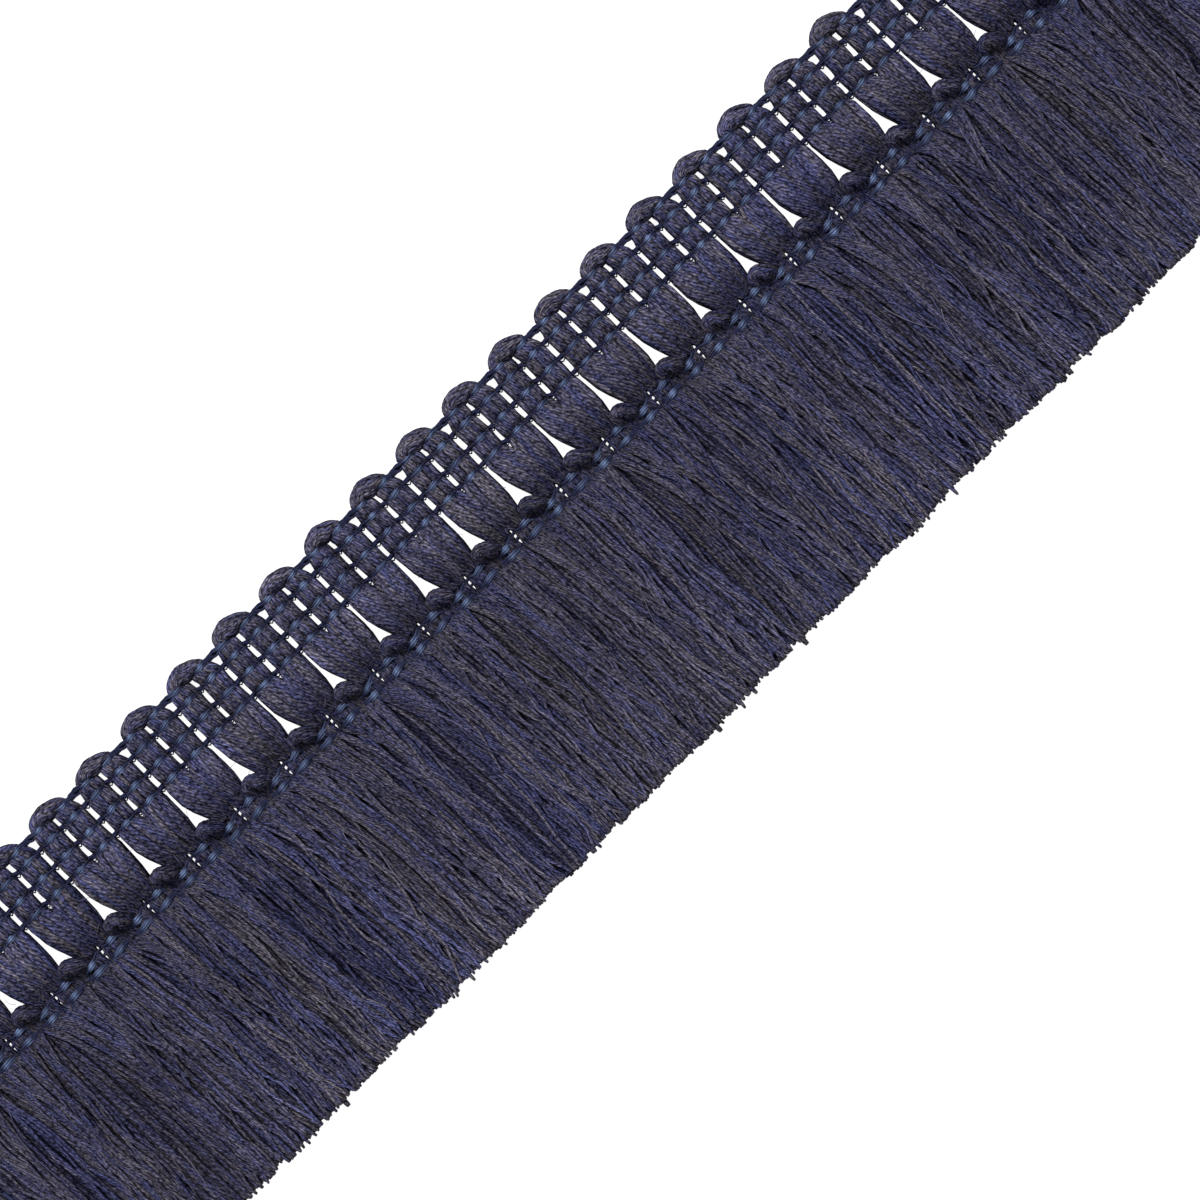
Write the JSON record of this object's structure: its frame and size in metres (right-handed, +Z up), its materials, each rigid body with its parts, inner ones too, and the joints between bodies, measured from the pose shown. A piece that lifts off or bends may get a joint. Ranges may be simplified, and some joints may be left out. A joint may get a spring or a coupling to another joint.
{
  "type": "brush fringe trim",
  "caption": "Length of brush fringe trim: an openwork woven heading with a scalloped edge, a tie band with small knuckles, and a thick skirt of cut two-ply yarn.",
  "frame": {"origin": "under the middle of the trim, on the surface that it lies on", "axes": "+X along the trim, +Y towards the scalloped edge, +Z up out of its face"},
  "size_m": [0.2722, 0.064, 0.0029],
  "materials": {
    "heading_yarn": "matte two-ply yarn in blended navy and charcoal, woven with fine navy thread",
    "skirt_yarn": "matte two-ply yarn in blended navy and charcoal, cut to a brush"
  },
  "bodies": {
    "root": {"heading": "heading_yarn", "skirt": "skirt_yarn"}
  },
  "joints": []
}
